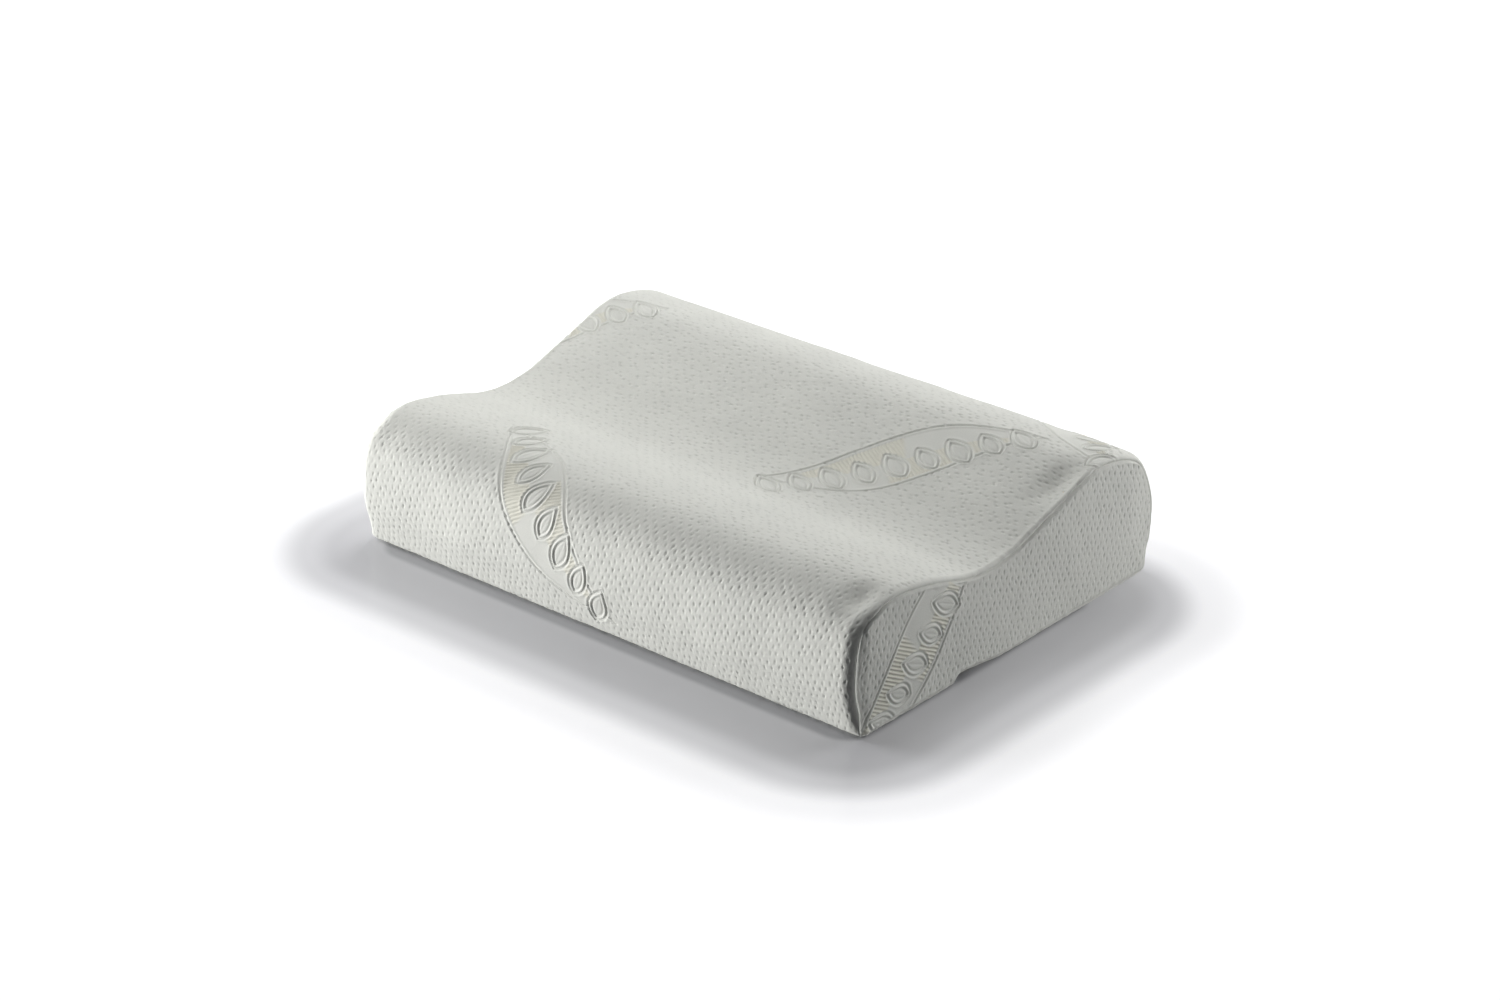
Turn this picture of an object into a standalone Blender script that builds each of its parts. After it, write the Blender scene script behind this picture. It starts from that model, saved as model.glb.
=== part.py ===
"""Contour bed pillow: a two-crested foam core in a thin liner, inside a zipped knit cover.

The cover is sewn from four panels. One wraps the front wall, the top and the upper back, one makes the
underside and the lower back, and two close the ends. The zip lies along the back wall between the first two.
Frame: +X along the pillow, -Y to its low front crest, +Y to its tall back crest, +Z up, floor at Z = 0.
Every sewn layer is the same cross-section, followed at its own depth under the cover's outer surface.
"""

import math

import bmesh
import bpy
import numpy as np

# Overall size, metres
LENGTH = 0.600  # end panel to end panel
FRONT_FOOT = [(-0.0050, 0.0095), (-0.0035, 0.0000), (0.0100, 0.0000)]  # wall, corner, underside
BACK_FOOT = [(0.4080, 0.0000), (0.4205, 0.0000), (0.4215, 0.0070)]  # underside, corner, wall
CROSS_SECTION = [  # (distance behind the front foot, height), up the front and over both crests to the back
    FRONT_FOOT[0],
    (-0.0150, 0.0480),
    (-0.0080, 0.1020),
    (0.0080, 0.1170),
    (0.0410, 0.1270),
    (0.0920, 0.1205),
    (0.1630, 0.1020),
    (0.2130, 0.1050),
    (0.2680, 0.1225),
    (0.3400, 0.1420),
    (0.4010, 0.1260),
    (0.4215, 0.1000),
    (0.4330, 0.0550),
    BACK_FOOT[-1],
]
ZIP_HEIGHT = 0.055  # the back wall is upright here
SPLINE_STEPS = 40  # points between two cross-section points while its length is measured
KEYS = 48  # corners of the outline once it is drawn as a polygon
KEY_SPACING, KEY_TURN = 0.030, math.radians(16)  # a corner about every 30 mm or 16 degrees
KEY_MARGIN = 0.0004
MIDDLE_STATION = 0.080  # the panels' nearest sections to the middle, which they cross straight

# Ends: the section draws in towards each end seam, less so underneath, where it rests on its base
END_RADIUS = 0.020
END_INSET = 0.0065
END_INSET_UNDERNEATH = 0.3  # as a share of END_INSET
INSET_FULL_HEIGHT = 0.025

# Layers: depth under the cover's outer surface
GAP = 0.0003
COVER = 0.0024
EASE = 0.0012  # room between cover and liner, which the zip tapes take up
LINER = 0.0008
COVER_END_FACE = LENGTH / 2 - COVER
LINER_OUTSIDE = COVER + EASE + GAP
FOAM_OUTSIDE = LINER_OUTSIDE + LINER + 3 * GAP
END_PANEL_ROUND = 0.0008

# Zip, measured from its centre line on the back wall: OUT is proud of the cover's surface
ZIP_HALF_OPENING = 0.0055
ZIP_STRAIGHT_TO = 0.233  # the two cover edges run parallel up to here, and then close together
ZIP_CLOSED_FROM = 0.241
COIL_HALF_LENGTH = 0.232
COIL_WIDTH, COIL_THICKNESS = 0.0024, 0.0020
TAPE_WIDTH, TAPE_THICKNESS, TAPE_HALF_LENGTH = 0.0160, 0.0006, 0.246
SLIDER_REST_X = 0.222
SLIDER_LENGTH, SLIDER_HALF_WIDTH, SLIDER_FLANGE = 0.0110, 0.0045, 0.0015
SLIDER_PLATE_OUT = (-0.0001, 0.0011)
BAIL_HALF_LENGTH, BAIL_THICK, BAIL_OPEN, BAIL_HALF_WIDTH = 0.0024, 0.0010, 0.0017, 0.0010
BAIL_ROOT = 0.0005  # how deep its feet go into the slider's plate
TAB_AXIS_OUT = SLIDER_PLATE_OUT[1] + BAIL_OPEN / 2
TAB_BAR_RADIUS, TAB_THICKNESS = 0.00055, 0.0010
TAB_LENGTH, TAB_HALF_WIDTH = 0.0240, 0.0036
TAB_WINDOW = (-0.0048, 0.0010)  # from its axis, open at the end past it
BAIL_OUT = SLIDER_PLATE_OUT[1] + BAIL_OPEN + BAIL_THICK

# Sewing
THREAD_RADIUS = 0.0005
THREAD_SIDES = 6
TOPSTITCH_FROM_EDGE, TOPSTITCH_SIZE = 0.0030, 0.0005
BAR_TACK_X, BAR_TACK_WIDTH, BAR_TACK_HALF_HEIGHT = 0.2334, 0.0014, 0.0040
LABEL_X, LABEL_WIDTH, LABEL_LENGTH, LABEL_THICKNESS = -0.270, 0.025, 0.032, 0.0005


def bezier(start, control, end, steps):
    """Points of a quadratic curve, without its last one."""
    t = np.linspace(0, 1, steps, endpoint=False)[:, None]
    a, b, c = (np.array(p) for p in (start, control, end))
    return a * (1 - t) ** 2 + 2 * b * t * (1 - t) + c * t**2


def through(points, before, after, steps):
    """Points of a smooth curve through all the points, without the last one."""
    p = np.array([before, *points, after])
    t = np.linspace(0, 1, steps, endpoint=False)[:, None]
    pieces = []
    for a, b, c, d in zip(p, p[1:], p[2:], p[3:]):
        near, span, far = (np.linalg.norm(v - u) ** 0.5 for u, v in ((a, b), (b, c), (c, d)))
        out_of_b = ((b - a) / near - (c - a) / (near + span) + (c - b) / span) * span
        into_c = ((c - b) / span - (d - b) / (span + far) + (d - c) / far) * span
        pieces.append(
            b + out_of_b * t + (3 * (c - b) - 2 * out_of_b - into_c) * t**2
            + (2 * (b - c) + out_of_b + into_c) * t**3
        )
    return np.vstack(pieces)


class Outline:
    """The closed cross-section by length: 0 is the seam under the front foot, and it rises up the front.

    It is a polygon with a corner at each of its keys, so that every layer bends at the same places.
    """

    def __init__(self):
        front = bezier(FRONT_FOOT[2], FRONT_FOOT[1], FRONT_FOOT[0], SPLINE_STEPS)
        upper = through(CROSS_SECTION, FRONT_FOOT[1], BACK_FOOT[1], SPLINE_STEPS)
        back = bezier(BACK_FOOT[2], BACK_FOOT[1], BACK_FOOT[0], SPLINE_STEPS)
        flat = np.linspace(BACK_FOOT[0], FRONT_FOOT[2], SPLINE_STEPS, endpoint=False)
        loop = np.roll(np.vstack([front, upper, back, flat]), -(SPLINE_STEPS // 2), axis=0)
        steps = np.linalg.norm(np.roll(loop, -1, axis=0) - loop, axis=1)
        along = np.roll(loop, -1, axis=0) - np.roll(loop, 1, axis=0)
        along /= np.linalg.norm(along, axis=1)[:, None]
        inward = np.column_stack([along[:, 1], -along[:, 0]])
        turned = np.unwrap(np.arctan2(inward[:, 1], inward[:, 0]))
        bend = np.abs(np.diff(np.append(turned, turned[-1])))

        loop, inward = np.vstack([loop, loop[:1]]), np.vstack([inward, inward[:1]])
        length = np.append(0, np.cumsum(steps))
        crest = loop[:, 1].argmax()
        falling = (np.arange(len(loop)) >= crest) & (loop[:, 0] > loop[crest, 0])
        self.zip = np.interp(-ZIP_HEIGHT, -loop[falling, 1], length[falling])

        # Keys stand closer together where the outline turns, and the wall behind the zip is flat.
        detail = np.append(0, np.cumsum(steps / KEY_SPACING + bend / KEY_TURN))
        keys = np.interp(np.linspace(0, detail[-1], KEYS + 1), detail, length)
        flat_edges = self.zip + np.array([-1, 1]) * (TAPE_WIDTH + 3 * GAP)
        away = (keys < flat_edges[0] - KEY_MARGIN) | (keys > flat_edges[1] + KEY_MARGIN)
        self.keys = np.sort(np.append(keys[away], flat_edges))
        self.total = length[-1]
        self.points = np.column_stack([np.interp(self.keys, length, row) for row in loop.T])
        self.inward = np.column_stack([np.interp(self.keys, length, row) for row in inward.T])
        wall_y = np.interp(self.zip, self.keys, self.points[:, 0])
        centre = (self.points[:, 0].min() + wall_y + BAIL_OUT) / 2
        self.points[:, 0] -= centre
        self.wall_y = wall_y - centre

    def at(self, length, depth, x):
        """World point at this length along the outline and depth under the cover, in the section at x."""
        length = np.mod(length, self.total)
        y, z, inward_y, inward_z = (
            np.interp(length, self.keys, values)
            for values in (*self.points.T, *self.inward.T)
        )
        u = np.clip((abs(x) - (COVER_END_FACE - END_RADIUS)) / (END_RADIUS - GAP), 0, 1)
        share = END_INSET_UNDERNEATH + (1 - END_INSET_UNDERNEATH) * np.clip(z / INSET_FULL_HEIGHT, 0, 1)
        depth = depth + END_INSET * share * (1 - np.sqrt(1 - u**2))
        return np.column_stack([np.full_like(y, x), y + inward_y * depth, z + inward_z * depth])

    def between(self, start, end):
        """The lengths of a strip's corners: its two edges, and the keys between them."""
        inside = (self.keys > start + KEY_MARGIN) & (self.keys < end - KEY_MARGIN)
        return np.array([start, *self.keys[inside], end])

    def around(self):
        return self.keys[:-1]


OUTLINE = Outline()
END_STATIONS = COVER_END_FACE - END_RADIUS * (1 - np.sin(np.radians([0, 30, 55, 90])))
WALL_SEAM = OUTLINE.zip


def material(name, colour, roughness, metallic=0.0):
    made = bpy.data.materials.new(name)
    made.use_nodes = True
    shader = made.node_tree.nodes["Principled BSDF"]
    shader.inputs["Base Color"].default_value = (*colour, 1)
    shader.inputs["Roughness"].default_value = roughness
    shader.inputs["Metallic"].default_value = metallic
    return made


def add_object(name, mesh, look, smooth=True):
    shape = bmesh.new()
    shape.from_mesh(mesh)
    bmesh.ops.recalc_face_normals(shape, faces=shape.faces)
    shape.to_mesh(mesh)
    shape.free()
    if smooth:
        mesh.shade_smooth()
        mesh.set_sharp_from_angle(angle=math.radians(35))
    made = bpy.data.objects.new(name, mesh)
    made.data.materials.append(look)
    bpy.context.scene.collection.objects.link(made)
    return made


def from_rings(name, rings, look, ring_closed=True, ends=True, row_closed=False, smooth=True):
    """One mesh from rings of points: each ring is joined to the next, and the end rings are filled."""
    count = len(rings[0])
    rows = [(i, (i + 1) % len(rings)) for i in range(len(rings) - (not row_closed))]
    columns = [(j, (j + 1) % count) for j in range(count - (not ring_closed))]
    faces = [
        (a * count + j, a * count + k, b * count + k, b * count + j)
        for a, b in rows
        for j, k in columns
    ]
    if ends:
        faces.append(tuple(range(count)))
        faces.append(tuple((len(rings) - 1) * count + j for j in range(count)))
    mesh = bpy.data.meshes.new(name)
    mesh.from_pydata(np.vstack(rings).tolist(), [], faces)
    return add_object(name, mesh, look, smooth)


def layer(name, stations, lengths_at, depths, look):
    """A sewn panel: a strip of the outline between two depths. Its edges may move between stations."""
    columns = len(lengths_at(stations[0]))
    rows = len(stations)
    outer, inner = (
        np.vstack([OUTLINE.at(lengths_at(x), depth, x) for x in stations]) for depth in depths
    )
    faces = []
    for i in range(rows - 1):
        for j in range(columns - 1):
            a, b = i * columns + j, (i + 1) * columns + j
            faces.append((a, b, b + 1, a + 1))
            faces.append(tuple(v + rows * columns for v in (a, a + 1, b + 1, b)))
    rim = [i * columns for i in range(rows)]
    rim += [(rows - 1) * columns + j for j in range(1, columns)]
    rim += [i * columns + columns - 1 for i in range(rows - 2, -1, -1)]
    rim += [j for j in range(columns - 2, 0, -1)]
    for a, b in zip(rim, rim[1:] + rim[:1]):
        faces.append((a, b, b + rows * columns, a + rows * columns))
    mesh = bpy.data.meshes.new(name)
    mesh.from_pydata(np.vstack([outer, inner]).tolist(), [], faces)
    return add_object(name, mesh, look)


def tube(name, path, look, closed):
    """A round thread along a path of points."""
    path = np.array(path)
    if closed:
        along = np.roll(path, -1, axis=0) - np.roll(path, 1, axis=0)
    else:
        along = np.gradient(path, axis=0)
    along /= np.linalg.norm(along, axis=1)[:, None]
    lengthwise = np.abs(along[:, 0]).mean() > 0.5
    side = np.tile([0.0, 0.0, 1.0] if lengthwise else [1.0, 0.0, 0.0], (len(path), 1))
    other = np.cross(along, side)
    other /= np.linalg.norm(other, axis=1)[:, None]
    rings = []
    for point, one, two in zip(path, np.cross(other, along), other):
        turns = np.arange(THREAD_SIDES) * 2 * math.pi / THREAD_SIDES
        rings.append(point + THREAD_RADIUS * (np.outer(np.cos(turns), one) + np.outer(np.sin(turns), two)))
    return from_rings(name, rings, look, ends=not closed, row_closed=closed)


def prism(name, outline, low, high, axis, look, smooth=False):
    """A flat outline drawn out along one axis (0 X, 1 Y, 2 Z) from low to high."""
    rings = [np.insert(np.array(outline, dtype=float), axis, level, axis=1) for level in (low, high)]
    return from_rings(name, rings, look, smooth=smooth)


def helper(obj):
    obj.hide_render = True
    obj.display_type = "WIRE"
    return obj


def boolean(target, operation, other):
    modifier = target.modifiers.new(other.name, "BOOLEAN")
    modifier.operation = operation
    modifier.object = other


# --- Core and liner -------------------------------------------------------------------------------------

def both_ends(stations):
    return [*(-stations[::-1]), *stations]


def build_core(look):
    lengths = OUTLINE.around()
    ends = END_STATIONS - 2 * GAP - LINER - 2 * GAP
    rings = [OUTLINE.at(lengths, FOAM_OUTSIDE, x) for x in both_ends(ends)]
    return from_rings("foam_core", rings, look)


def build_liner(look):
    lengths = OUTLINE.around()
    ends = END_STATIONS - LINER - 2 * GAP
    stations = both_ends(ends)
    rings = [OUTLINE.at(lengths, LINER_OUTSIDE, x) for x in stations]
    rings += [OUTLINE.at(lengths, LINER_OUTSIDE + LINER, x) for x in reversed(stations)]
    from_rings("liner_tube", rings, look, ends=False, row_closed=True)
    near, far = COVER_END_FACE - GAP - LINER, COVER_END_FACE - GAP
    for side, name in ((-1, "liner_end_left"), (1, "liner_end_right")):
        outline = OUTLINE.at(lengths, LINER_OUTSIDE, COVER_END_FACE)[:, 1:]
        prism(name, outline, side * near, side * far, 0, look)


# --- Cover ----------------------------------------------------------------------------------------------

def half_opening(x):
    """How far each cover edge stands from the zip's centre line."""
    closing = np.clip((abs(x) - ZIP_STRAIGHT_TO) / (ZIP_CLOSED_FROM - ZIP_STRAIGHT_TO), 0, 1)
    return ZIP_HALF_OPENING + (GAP / 2 - ZIP_HALF_OPENING) * closing


def build_cover(look):
    body = END_STATIONS - GAP
    stations = both_ends(np.array([MIDDLE_STATION, ZIP_STRAIGHT_TO, ZIP_CLOSED_FROM, *body]))
    front_seam = GAP / 2

    def wrap_lengths(x):
        return OUTLINE.between(front_seam, WALL_SEAM - half_opening(x))

    def base_lengths(x):
        return OUTLINE.between(WALL_SEAM + half_opening(x), OUTLINE.total - front_seam)

    layer("cover_wrap_panel", stations, wrap_lengths, (0, COVER), look)
    layer("cover_base_panel", stations, base_lengths, (0, COVER), look)
    lengths = OUTLINE.around()
    for side, name in ((-1, "cover_end_panel_left"), (1, "cover_end_panel_right")):
        rings = []
        for x, depth in (
            (COVER_END_FACE, 0), (LENGTH / 2 - END_PANEL_ROUND, 0), (LENGTH / 2, END_PANEL_ROUND),
        ):
            ring = OUTLINE.at(lengths, depth, COVER_END_FACE)
            ring[:, 0] = side * x
            rings.append(ring)
        from_rings(name, rings, look)


def build_seams(look):
    proud = -(GAP + THREAD_RADIUS)
    lengths = OUTLINE.around()
    for side, name in ((-1, "seam_thread_left_end"), (1, "seam_thread_right_end")):
        path = OUTLINE.at(lengths, proud, COVER_END_FACE)
        path[:, 0] = side * (COVER_END_FACE + GAP + THREAD_RADIUS)
        tube(name, path, look, closed=True)
    reach = COVER_END_FACE - 3 * THREAD_RADIUS
    ends = np.minimum(END_STATIONS, reach)
    stations = both_ends(ends)
    path = [OUTLINE.at(np.array([0.0]), proud, x)[0] for x in stations]
    tube("seam_thread_front_base", path, look, closed=False)
    for side, name in ((-1, "seam_thread_back_left"), (1, "seam_thread_back_right")):
        stations = sorted(side * x for x in (ZIP_CLOSED_FROM, *ends))
        path = [OUTLINE.at(np.array([WALL_SEAM]), proud, x)[0] for x in stations]
        tube(name, path, look, closed=False)


# --- Zip ------------------------------------------------------------------------------------------------

def wall_strip(name, half_length, near, far, depths, look):
    """A straight strip on the back wall, between two lengths from the zip's centre line."""
    lengths = WALL_SEAM + np.sort([near, far])
    return layer(name, [-half_length, half_length], lambda x: lengths, depths, look)


def build_zip(tape_look, coil_look, metal_look, thread_look):
    tape_out = COVER + GAP
    coil_depths = (COVER - COIL_THICKNESS, COVER)
    tape_depths = (tape_out, tape_out + TAPE_THICKNESS)
    stitch_depths = (-GAP - TOPSTITCH_SIZE, -GAP)
    edge = GAP / 2
    stitch = ZIP_HALF_OPENING + TOPSTITCH_FROM_EDGE
    for up, half in ((-1, "upper"), (1, "lower")):
        wall_strip(
            f"zipper_tape_{half}", TAPE_HALF_LENGTH, up * edge, up * TAPE_WIDTH, tape_depths, tape_look,
        )
        wall_strip(
            f"zipper_coil_{half}", COIL_HALF_LENGTH, up * edge, up * (edge + COIL_WIDTH),
            coil_depths, coil_look,
        )
        wall_strip(
            f"zipper_topstitch_{half}", ZIP_STRAIGHT_TO, up * stitch, up * (stitch + TOPSTITCH_SIZE),
            stitch_depths, thread_look,
        )
    for side, name in ((-1, "zipper_bar_tack_left"), (1, "zipper_bar_tack_right")):
        x = side * BAR_TACK_X
        lengths = np.array([WALL_SEAM - BAR_TACK_HALF_HEIGHT, WALL_SEAM + BAR_TACK_HALF_HEIGHT])
        edges = [x - BAR_TACK_WIDTH / 2, x + BAR_TACK_WIDTH / 2]
        layer(name, edges, lambda _: lengths, coil_depths, thread_look)
    build_slider(metal_look)


def build_slider(look):
    place = bpy.data.objects.new("slider_place", None)
    place.location = (SLIDER_REST_X, OUTLINE.wall_y, ZIP_HEIGHT)
    bpy.context.scene.collection.objects.link(place)

    # The body is a channel over the coil. Its section is drawn in (Y, Z), with Y out of the wall.
    plate_in, plate_out = SLIDER_PLATE_OUT
    flange_in = -COVER
    wide, channel = SLIDER_HALF_WIDTH, SLIDER_HALF_WIDTH - SLIDER_FLANGE
    section = [
        (flange_in, -wide), (plate_out, -wide), (plate_out, wide), (flange_in, wide),
        (flange_in, channel), (plate_in, channel), (plate_in, -channel), (flange_in, -channel),
    ]
    slider = prism("zipper_slider", section, -SLIDER_LENGTH / 2, SLIDER_LENGTH / 2, 0, look)
    half, inside = BAIL_HALF_LENGTH, BAIL_HALF_LENGTH - BAIL_THICK
    foot, open_to = plate_out - BAIL_ROOT, plate_out + BAIL_OPEN
    arch = [
        (-half, foot), (-half, open_to), (-inside, BAIL_OUT), (inside, BAIL_OUT),
        (half, open_to), (half, foot), (inside, foot), (inside, open_to), (-inside, open_to), (-inside, foot),
    ]
    bail = prism("slider_bail", arch, -BAIL_HALF_WIDTH, BAIL_HALF_WIDTH, 2, look)
    boolean(slider, "UNION", helper(bail))
    for piece in (slider, bail):
        piece.parent = place

    # The tab's origin is on its swing axis, the bar under the bail. It lies along -X at rest.
    tip = TAB_HALF_WIDTH
    turns = np.radians(np.linspace(90, 270, 9))
    far_end = [(-TAB_LENGTH + tip + tip * math.cos(t), tip * math.sin(t)) for t in turns]
    outline = [(0, tip), *far_end, (0, -tip)]
    tab = prism("zipper_pull_tab", outline, -TAB_THICKNESS / 2, TAB_THICKNESS / 2, 1, look)
    window_half = BAIL_HALF_WIDTH + 2 * GAP
    inner_end, open_end = TAB_WINDOW
    window = [
        (open_end, -window_half), (open_end, window_half),
        (inner_end, window_half), (inner_end, -window_half),
    ]
    bar_turns = np.radians(np.arange(0, 360, 45) + 22.5)
    bar_section = [(TAB_BAR_RADIUS * math.cos(t), TAB_BAR_RADIUS * math.sin(t)) for t in bar_turns]
    cutter = helper(prism("tab_window", window, -TAB_THICKNESS, TAB_THICKNESS, 1, look))
    bar = helper(prism("tab_bar", bar_section, -tip, tip, 2, look))
    boolean(tab, "DIFFERENCE", cutter)
    boolean(tab, "UNION", bar)
    for piece in (tab, cutter, bar):
        piece.parent = place
        piece.location = (0, TAB_AXIS_OUT, 0)


def build_label(look):
    start = WALL_SEAM + 2 * THREAD_RADIUS + GAP
    lengths = OUTLINE.between(start, start + LABEL_LENGTH)
    stations = [LABEL_X - LABEL_WIDTH / 2, LABEL_X + LABEL_WIDTH / 2]
    layer("care_label", stations, lambda x: lengths, (-GAP - LABEL_THICKNESS, -GAP), look)


def main():
    for old in list(bpy.data.objects):
        bpy.data.objects.remove(old, do_unlink=True)
    knit = material("cover_knit", (0.83, 0.83, 0.80), 0.92)
    thread = material("sewing_thread", (0.86, 0.86, 0.83), 0.7)
    build_core(material("memory_foam", (0.88, 0.83, 0.66), 0.95))
    build_liner(material("liner_jersey", (0.88, 0.88, 0.87), 0.95))
    build_cover(knit)
    build_seams(thread)
    tape = material("zip_tape", (0.84, 0.84, 0.81), 0.85)
    coil = material("zip_nylon", (0.86, 0.86, 0.83), 0.35)
    metal = material("zip_lacquer", (0.80, 0.80, 0.78), 0.35, 0.0)
    build_zip(tape, coil, metal, thread)
    build_label(material("label_satin", (0.90, 0.90, 0.89), 0.5))


main()
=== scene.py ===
"""Looks of the contour pillow: a quilted, embossed knit cover with a zip, round a lined foam core.

Every cover panel is drawn from the frame's own cross-section, which is followed by its length, as cloth is
cut. Lengths are metres. Heights are measured out of the cover's plain surface.
"""

import math

import bmesh
import bpy
import numpy as np
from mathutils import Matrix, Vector

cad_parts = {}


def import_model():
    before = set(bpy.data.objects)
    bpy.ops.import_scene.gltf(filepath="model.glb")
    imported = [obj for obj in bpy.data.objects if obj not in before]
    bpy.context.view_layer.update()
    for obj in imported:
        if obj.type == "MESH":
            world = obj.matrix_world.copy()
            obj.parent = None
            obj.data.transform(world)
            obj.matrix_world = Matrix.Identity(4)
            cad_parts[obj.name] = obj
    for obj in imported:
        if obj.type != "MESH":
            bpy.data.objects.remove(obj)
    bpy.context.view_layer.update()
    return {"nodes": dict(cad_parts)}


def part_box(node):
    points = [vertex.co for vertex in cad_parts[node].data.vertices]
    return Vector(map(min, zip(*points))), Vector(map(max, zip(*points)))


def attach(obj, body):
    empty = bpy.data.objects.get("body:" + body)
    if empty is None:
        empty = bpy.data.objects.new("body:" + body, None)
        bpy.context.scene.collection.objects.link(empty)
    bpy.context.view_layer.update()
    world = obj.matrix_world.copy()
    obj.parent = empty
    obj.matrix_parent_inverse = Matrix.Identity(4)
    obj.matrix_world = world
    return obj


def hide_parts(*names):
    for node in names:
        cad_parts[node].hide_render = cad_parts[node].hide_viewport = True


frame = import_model()


# --- What the frame gives ---

def centre_of(node):
    low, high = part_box(node)
    return (low + high) / 2


SEAM_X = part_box("cover_wrap_panel")[1].x  # where the long panels meet the end panels
END_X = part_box("cover_end_panel_right")[1].x
TOP_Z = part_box("cover_wrap_panel")[1].z
CORE_DEPTH = TOP_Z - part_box("foam_core")[1].z
LINER_DEPTH = TOP_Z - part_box("liner_tube")[1].z
ZIP_Z = (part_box("zipper_tape_lower")[1].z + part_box("zipper_tape_upper")[0].z) / 2
FRONT_SEAM = centre_of("seam_thread_front_base")
TAB_LOW, TAB_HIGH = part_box("zipper_pull_tab")
COIL_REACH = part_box("zipper_coil_lower")[1].x

# --- Sizes of the soft detail ---

CELL = 0.00095  # spacing of a panel's outer mesh
COARSE = 4  # outer cells to one inner cell
COVER = 0.0024  # thickness of the quilted knit
LINER = 0.0008  # thickness of the jersey
END_PULL = 0.0068  # how far an end seam lies inside the section
# Length round the section, the end roll's width and depth there, and the reach of the droop before it.
END_ROLLS = (
    (0.000, 0.0080, 0.0056, 0.034), (0.085, 0.0100, 0.0062, 0.040), (0.140, 0.0120, 0.0060, 0.044),
    (0.190, 0.0080, 0.0044, 0.048), (0.260, 0.0040, 0.0028, 0.055), (0.420, 0.0036, 0.0026, 0.075),
    (0.490, 0.0080, 0.0048, 0.055), (0.550, 0.0100, 0.0060, 0.036), (0.700, 0.0076, 0.0056, 0.030),
    (0.800, 0.0070, 0.0050, 0.030),
)
WIDEST_ROLL = 0.0120
CORNER_FLAT = 0.25  # 0 for a quarter of an ellipse, 1 for a straight chamfer
# Hollows beside the right end's seam: length round the section, place along, depth, and size each way.
DENTS = (
    (0.143, 0.277, 0.0075, 0.019, 0.014), (0.427, 0.284, 0.0075, 0.030, 0.014),
)
FOOT_SHARE, FOOT_HEIGHT = 0.3, 0.025  # less drawn in underneath
SEAM_GAP = 0.0002  # the front seam to either panel's edge
SEAM_CREASE, SEAM_CREASE_WIDTH = 0.0004, 0.0008
OPENING, OPENING_STRAIGHT, OPENING_CLOSED = 0.0055, 0.233, 0.241  # the slot that shows the zip
STITCH_LINE = 0.0030  # topstitch to the slot's edge
TACK_SINK = 0.0004  # a bar tack draws the cloth flat, so that the pull tab passes over it

PIT_DEPTH = 0.00120
PIT_ROUND, PIT_STRETCH = 0.00125, 0.40  # they are long up the front and the ends, and wide over the top
PIT_JITTER = 0.0011
PITS_LONG = ((0.0080, 0.0028), (-0.0048, 0.0054))  # one step each way through the lattice of pits
PITS_END = ((0.0084, -0.0030), (0.0048, 0.0046))
PIT_TABLE = 61
FRONT_PUFF, TOP_PUFF = 0.85, 1.10  # the quilting stands out more over the softer top

LIFT, LIFT_PEAK_Y, LIFT_FRONT, LIFT_BACK = 0.0070, -0.072, 0.010, 0.085  # the loose lower edge, right end


def smooth(value):
    """0 below 0, 1 above 1, and an even rise between them."""
    value = np.clip(value, 0, 1)
    return value * value * (3 - 2 * value)


def ridge(value, width):
    return np.exp(-((value / width) ** 2))


def cloud(u, v, size, seed):
    """Soft random relief from -1 to 1, with blobs of this size."""
    table = np.random.default_rng(seed).uniform(-1, 1, (PIT_TABLE, PIT_TABLE))
    u, v = u / size, v / size
    i, j = np.floor(u).astype(int), np.floor(v).astype(int)
    a, b = smooth(u - i), smooth(v - j)

    def corner(di, dj):
        return table[(i + di) % PIT_TABLE, (j + dj) % PIT_TABLE]

    near = corner(0, 0) * (1 - a) + corner(1, 0) * a
    far = corner(0, 1) * (1 - a) + corner(1, 1) * a
    return near * (1 - b) + far * b


# --- The cover's cross-section ---

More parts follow.
